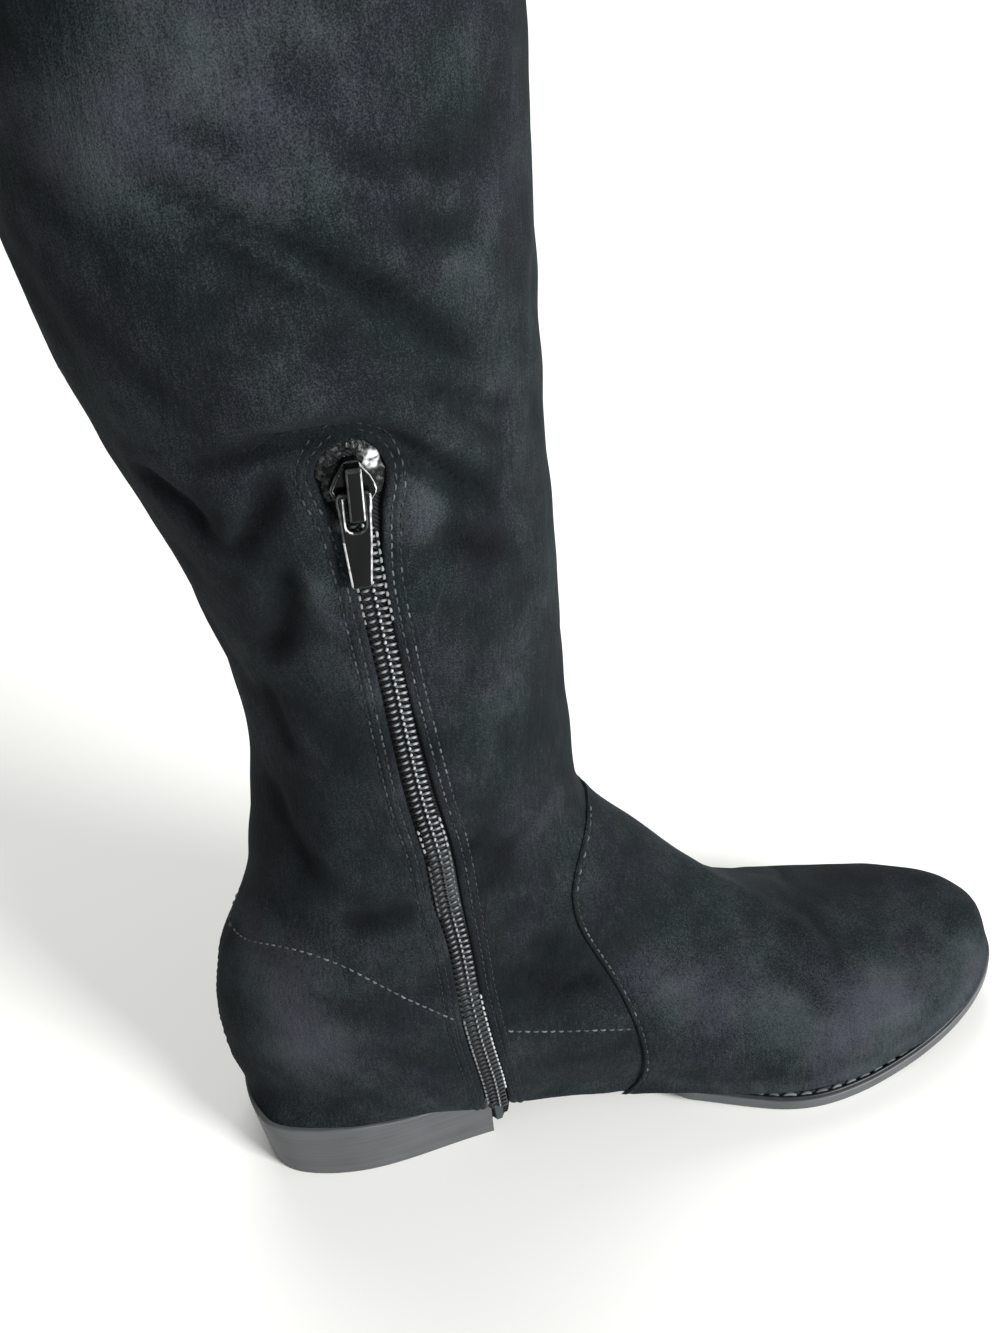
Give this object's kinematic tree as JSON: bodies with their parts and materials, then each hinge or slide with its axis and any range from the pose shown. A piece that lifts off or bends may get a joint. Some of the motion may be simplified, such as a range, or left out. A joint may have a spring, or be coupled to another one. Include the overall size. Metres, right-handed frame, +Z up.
{
  "type": "over-the-knee boot",
  "caption": "Flat over-the-knee boot for the left foot: soft hollow shaft open at the thigh, almond toe, low block heel, welted forefoot and an inner ankle zip.",
  "frame": {"origin": "middle of the heel's tread, on the floor", "axes": "+X to the toe, +Y to the outer side of the leg, +Z up"},
  "size_m": [0.2851, 0.1412, 0.5901],
  "materials": {
    "suede": "napped microsuede, charcoal black, matt",
    "insole": "black textile sock lining",
    "sole": "smooth moulded, mid grey, satin",
    "welt": "black moulded strip with stitches",
    "zip_tape": "black woven polyester tape",
    "zip_coil": "black polyester coil, semi gloss",
    "zip_film": "crumpled glossy black film",
    "zip_metal": "glossy black enamel on die-cast zinc"
  },
  "bodies": {
    "boot": {"upper": "suede", "insole": "insole", "outsole": "sole", "heel": "sole", "welt": "welt", "zip_tape": "zip_tape", "zip_chain": "zip_coil", "zip_end_patch": "zip_film", "zip_slider": "zip_metal"},
    "pull": {"zip_pull": "zip_metal"}
  },
  "joints": [
    {"name": "pull_hinge", "type": "hinge", "parent": "boot", "child": "pull", "pos_m": [0.02543, -0.05899, 0.26195], "axis": [-0.9987, -0.0266, 0.0436], "range_deg": [0, 150]}
  ]
}
